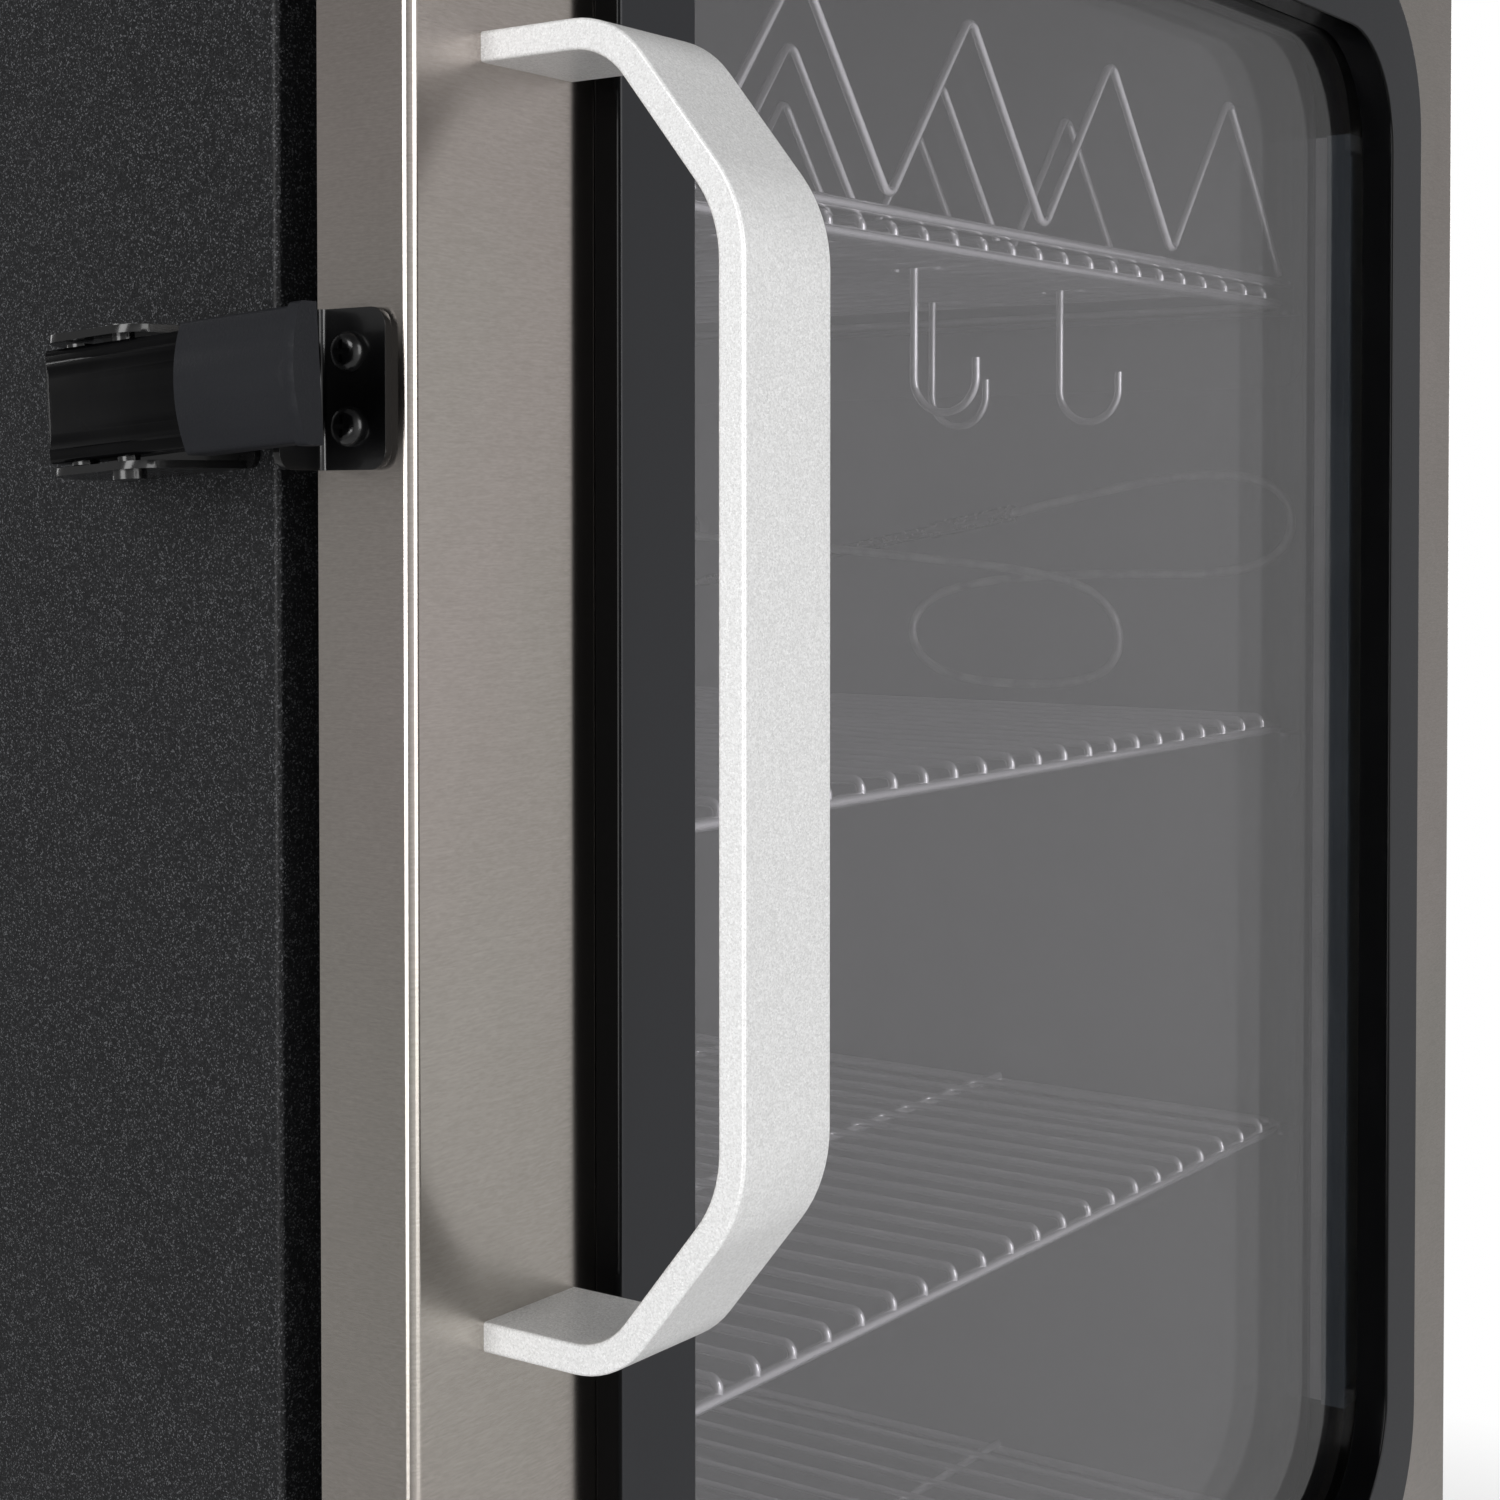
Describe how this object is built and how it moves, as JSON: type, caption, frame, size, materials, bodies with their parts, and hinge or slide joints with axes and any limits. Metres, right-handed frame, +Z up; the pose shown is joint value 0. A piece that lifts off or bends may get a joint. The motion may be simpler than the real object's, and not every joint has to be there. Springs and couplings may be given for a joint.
{
  "type": "electric cabinet smoker",
  "caption": "Upright insulated electric smoker cabinet with a windowed stainless door, bow handle, side draw latch, wire racks, rib dividers, hooks and a meat probe.",
  "frame": {"origin": "on the ground under the middle of the whole object's box", "axes": "+X to the viewer's right when facing the door, +Y into the cabinet, +Z up; the door is on the -Y side"},
  "size_m": [0.5637, 0.4922, 0.934],
  "materials": {
    "stainless": "horizontally brushed stainless sheet",
    "black_coat": "fine-textured black powder coat",
    "chamber_steel": "satin grey sheet",
    "charcoal": "satin charcoal front, gloss sides",
    "silver_coat": "sparkling silver powder coat",
    "gloss_black": "gloss black coat",
    "rubber": "matt moulded grip",
    "gasket_rubber": "smooth silicone seal",
    "chrome_wire": "bright plated wire",
    "plated_steel": "zinc or nickel plate",
    "pane": "clear tempered glass",
    "spacer_metal": "dark coated strip",
    "bare_aluminium": "satin",
    "mineral_wool": "fibrous slab",
    "lead_braid": "braided steel sleeve",
    "black_plastic": "fine-grained moulding",
    "display": "tinted gloss window",
    "circuit": "circuit laminate",
    "element_sheath": "heat-toned sheath",
    "foot_rubber": "matt"
  },
  "bodies": {
    "cabinet": {"left_side_panel": "black_coat", "right_side_panel": "black_coat", "top_panel": "black_coat", "rear_panel": "black_coat", "base_panel": "black_coat", "front_frame": "black_coat", "chamber_liner": "chamber_steel", "wall_insulation": "mineral_wool", "upper_hinge_bracket": "gloss_black", "lower_hinge_bracket": "gloss_black", "latch_base": "gloss_black", "latch_pivot_pin": "gloss_black", "rack_ledges": "chamber_steel", "probe_lead": "lead_braid", "probe_rod": "plated_steel", "probe_jack": "plated_steel", "probe_clip": "plated_steel", "heating_element": "element_sheath", "chip_tray": "chamber_steel", "loader_sleeve": "plated_steel", "vent_pipe": "black_coat", "control_housing": "black_plastic", "display_lens": "display", "control_board": "circuit", "power_inlet": "black_plastic", "temperature_sensor": "plated_steel", "leveling_feet": "foot_rubber"},
    "door": {"door_skin": "stainless", "window_bezel": "charcoal", "outer_glass": "pane", "glass_spacer": "spacer_metal", "inner_glass": "pane", "inner_glass_frame": "bare_aluminium", "door_liner": "chamber_steel", "door_insulation": "mineral_wool", "door_gasket": "gasket_rubber", "door_handle": "silver_coat", "handle_screws": "plated_steel", "catch_plate": "gloss_black", "catch_screws": "gloss_black"},
    "latch_lever": {"latch_lever": "gloss_black", "lever_sleeve": "rubber", "hook_pin": "gloss_black"},
    "latch_hook": {"latch_hook": "gloss_black"},
    "rib_rack": {"rib_rack_grid": "chrome_wire", "rib_dividers": "chrome_wire"},
    "middle_rack": {"middle_rack": "chrome_wire"},
    "lower_rack": {"lower_rack": "chrome_wire"},
    "bottom_rack": {"bottom_rack": "chrome_wire"},
    "meat_hook_1": {"meat_hook_1": "chrome_wire"},
    "meat_hook_2": {"meat_hook_2": "chrome_wire"},
    "meat_hook_3": {"meat_hook_3": "chrome_wire"},
    "water_pan": {"water_pan": "chamber_steel"},
    "drip_pan": {"drip_pan": "chamber_steel"},
    "grease_tray": {"grease_tray": "black_coat"},
    "chip_loader": {"chip_loader": "black_coat"},
    "vent_damper": {"vent_damper": "black_coat"},
    "power_key": {"power_key": "gloss_black"},
    "minus_key": {"minus_key": "gloss_black"},
    "plus_key": {"plus_key": "gloss_black"}
  },
  "joints": [
    {"name": "door_hinge", "type": "hinge", "parent": "cabinet", "child": "door", "pos_m": [0.243, -0.179, 0.489], "axis": [0, 0, 1], "range_deg": [0, 120]},
    {"name": "latch_lever_turn", "type": "hinge", "parent": "cabinet", "child": "latch_lever", "pos_m": [-0.2755, -0.1405, 0.6125], "axis": [0, -0.0628, -0.998], "range_deg": [0, 125]},
    {"name": "latch_hook_turn", "type": "hinge", "parent": "latch_lever", "child": "latch_hook", "pos_m": [-0.275, -0.12852, 0.61175], "axis": [0, -0.0628, -0.998], "range_deg": [-102, 0]},
    {"name": "rib_rack_slide", "type": "slide", "parent": "cabinet", "child": "rib_rack", "axis": [0, -1, 0], "range_m": [0, 0.012]},
    {"name": "middle_rack_slide", "type": "slide", "parent": "cabinet", "child": "middle_rack", "axis": [0, -1, 0], "range_m": [0, 0.012]},
    {"name": "lower_rack_slide", "type": "slide", "parent": "cabinet", "child": "lower_rack", "axis": [0, -1, 0], "range_m": [0, 0.012]},
    {"name": "bottom_rack_slide", "type": "slide", "parent": "cabinet", "child": "bottom_rack", "axis": [0, -1, 0], "range_m": [0, 0.012]},
    {"name": "meat_hook_1_swing", "type": "hinge", "parent": "rib_rack", "child": "meat_hook_1", "pos_m": [0.06, -0.094, 0.6677], "axis": [1, 0, 0], "range_deg": [-12, 12]},
    {"name": "meat_hook_2_swing", "type": "hinge", "parent": "rib_rack", "child": "meat_hook_2", "pos_m": [0.15, -0.094, 0.6677], "axis": [1, 0, 0], "range_deg": [-12, 12]},
    {"name": "meat_hook_3_swing", "type": "hinge", "parent": "rib_rack", "child": "meat_hook_3", "pos_m": [0.165, -0.037, 0.6677], "axis": [1, 0, 0], "range_deg": [-12, 12]},
    {"name": "water_pan_slide", "type": "slide", "parent": "cabinet", "child": "water_pan", "axis": [0, -1, 0], "range_m": [0, 0.05]},
    {"name": "drip_pan_slide", "type": "slide", "parent": "cabinet", "child": "drip_pan", "axis": [0, -1, 0], "range_m": [0, 0.012]},
    {"name": "grease_tray_slide", "type": "slide", "parent": "cabinet", "child": "grease_tray", "axis": [0, -1, 0], "range_m": [0, 0.18]},
    {"name": "chip_loader_slide", "type": "slide", "parent": "cabinet", "child": "chip_loader", "axis": [1, 0, 0], "range_m": [0, 0.12]},
    {"name": "vent_damper_turn", "type": "hinge", "parent": "cabinet", "child": "vent_damper", "pos_m": [-0.14, 0.13, 0.89], "axis": [0, 0, 1], "range_deg": [0, 90]},
    {"name": "power_key_press", "type": "slide", "parent": "cabinet", "child": "power_key", "axis": [0, 0.7619, -0.6476], "range_m": [0, 0.001], "stiffness_N_per_m": 300},
    {"name": "minus_key_press", "type": "slide", "parent": "cabinet", "child": "minus_key", "axis": [0, 0.7619, -0.6476], "range_m": [0, 0.001], "stiffness_N_per_m": 300},
    {"name": "plus_key_press", "type": "slide", "parent": "cabinet", "child": "plus_key", "axis": [0, 0.7619, -0.6476], "range_m": [0, 0.001], "stiffness_N_per_m": 300}
  ],
  "couplings": [
    {"joint": "latch_hook_turn", "follows": "latch_lever_turn", "ratio": -0.8}
  ]
}
